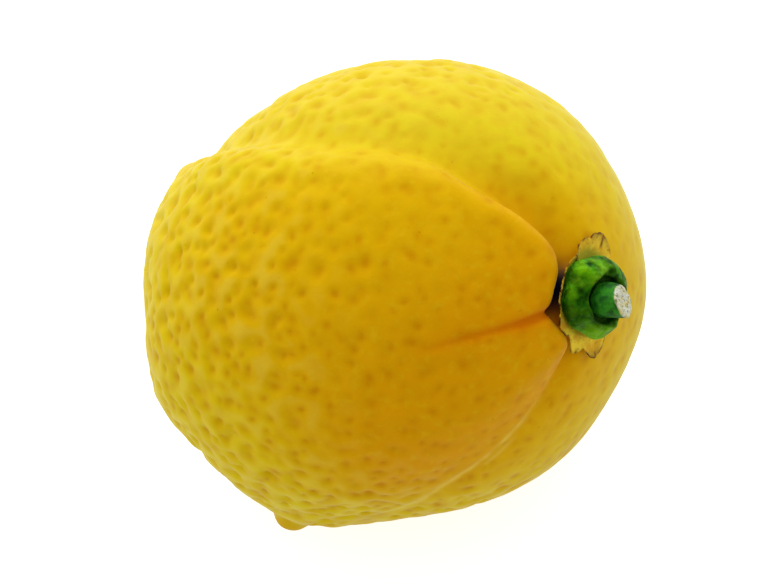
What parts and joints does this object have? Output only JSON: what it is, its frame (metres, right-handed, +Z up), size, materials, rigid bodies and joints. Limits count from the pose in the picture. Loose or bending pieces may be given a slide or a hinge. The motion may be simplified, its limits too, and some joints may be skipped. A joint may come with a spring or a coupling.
{
  "type": "lemon",
  "caption": "Whole lopsided lemon with a folded rind, a nipple, a dried calyx, a green button and a short stub of stalk, resting on a small flat spot.",
  "frame": {"origin": "middle of the small flat spot that the fruit rests on", "axes": "+Z up, away from the surface the fruit lies on; the stalk leans towards +X and up, the nipple points towards -Y and down"},
  "size_m": [0.0618, 0.0571, 0.0573],
  "materials": {
    "rind": "waxy satin rind with fine pits",
    "dried_sepal": "dry papery matte with brown edges",
    "green_calyx": "lumpy waxy satin",
    "cut_stalk": "green bark satin with a pale corky cut end"
  },
  "bodies": {
    "root": {"fruit": "rind", "calyx_sepals": "dried_sepal", "calyx_button": "green_calyx", "stem_stub": "cut_stalk"}
  },
  "joints": []
}
